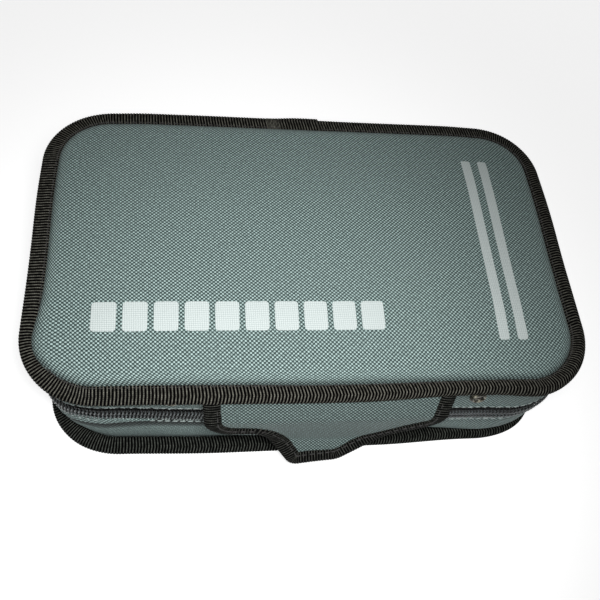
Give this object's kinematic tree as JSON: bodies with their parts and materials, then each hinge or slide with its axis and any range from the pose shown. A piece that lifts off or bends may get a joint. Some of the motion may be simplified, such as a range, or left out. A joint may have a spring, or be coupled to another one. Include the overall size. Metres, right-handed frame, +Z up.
{
  "type": "soft harmonica case",
  "caption": "Soft padded case with bound edges, a zip round three sides, a cloth hinge, a hanging front flap and two fitted trays for small mouth organs.",
  "frame": {"origin": "centre of the bottom panel's underside, on which the case rests", "axes": "+X along the front from left to right, the longest way; -Y out of the front, where the flap is; +Z up, the shortest way"},
  "size_m": [0.24, 0.1632, 0.066],
  "materials": {
    "grey_cloth": "coarse plain-woven nylon",
    "black_tape": "ribbed woven tape",
    "black_lining": "smooth woven lining",
    "foam": "closed-cell foam sheet",
    "tray_foam": "flocked moulded foam",
    "board": "stiffener board",
    "zip_nylon": "black nylon coil",
    "elastic": "woven elastic",
    "pewter": "antiqued bronze plate",
    "spring_steel": "bright wire",
    "slider_metal": "black enamelled zinc",
    "hook_and_loop": "hook-and-loop tape"
  },
  "bodies": {
    "base": {"base_cover": "grey_cloth", "base_foam": "foam", "base_board": "board", "base_lining": "black_lining", "base_wall_cloth": "grey_cloth", "base_back_cloth": "grey_cloth", "base_wall_foam": "foam", "base_wall_lining": "black_lining", "base_binding": "black_tape", "base_binding_lap": "black_tape", "base_tray_pad": "tray_foam", "base_tray_frame": "tray_foam", "base_tray_dividers": "tray_foam", "base_loop_patch": "hook_and_loop", "zip_tape_lower": "black_tape", "zip_coil_lower": "zip_nylon", "zip_stops_lower": "slider_metal"},
    "lid": {"lid_cover": "grey_cloth", "lid_foam": "foam", "lid_board": "board", "lid_lining": "black_lining", "lid_wall_cloth": "grey_cloth", "lid_back_cloth": "grey_cloth", "lid_wall_foam": "foam", "lid_wall_lining": "black_lining", "lid_binding": "black_tape", "lid_binding_lap": "black_tape", "lid_tray_pad": "tray_foam", "lid_tray_frame": "tray_foam", "lid_tray_dividers": "tray_foam", "lid_strap": "elastic", "zip_tape_upper": "black_tape", "zip_coil_upper": "zip_nylon", "zip_stops_upper": "slider_metal", "stud_sockets": "pewter", "stud_springs": "spring_steel", "stud_rivets": "pewter", "flap_anchor": "grey_cloth"},
    "flap": {"flap_outer_cloth": "grey_cloth", "flap_stiffener": "board", "flap_inner_cloth": "black_lining", "flap_binding": "black_tape", "flap_hook_patch": "hook_and_loop"},
    "front_slider": {"front_slider": "slider_metal"},
    "rear_slider": {"rear_slider": "slider_metal"},
    "front_pull": {"front_slider_pull": "slider_metal"},
    "rear_pull": {"rear_slider_pull": "slider_metal"}
  },
  "joints": [
    {"name": "lid_hinge", "type": "hinge", "parent": "base", "child": "lid", "pos_m": [0, 0.06975, 0.033], "axis": [-1, 0, 0], "range_deg": [0, 150]},
    {"name": "flap_hinge", "type": "hinge", "parent": "lid", "child": "flap", "pos_m": [0.004, -0.0685, 0.0574], "axis": [-1, 0, 0], "range_deg": [-10, 100]},
    {"name": "front_slider_slide", "type": "slide", "parent": "base", "child": "front_slider", "axis": [0, -1, 0], "range_m": [0, 0.027]},
    {"name": "rear_slider_slide", "type": "slide", "parent": "base", "child": "rear_slider", "axis": [0, 1, 0], "range_m": [0, 0.027]},
    {"name": "front_pull_hinge", "type": "hinge", "parent": "front_slider", "child": "front_pull", "pos_m": [0.1172, -0.00565, 0.033], "axis": [0, -1, 0], "range_deg": [0, 175]},
    {"name": "rear_pull_hinge", "type": "hinge", "parent": "rear_slider", "child": "rear_pull", "pos_m": [0.1172, 0.00815, 0.033], "axis": [0, -1, 0], "range_deg": [0, 175]}
  ]
}
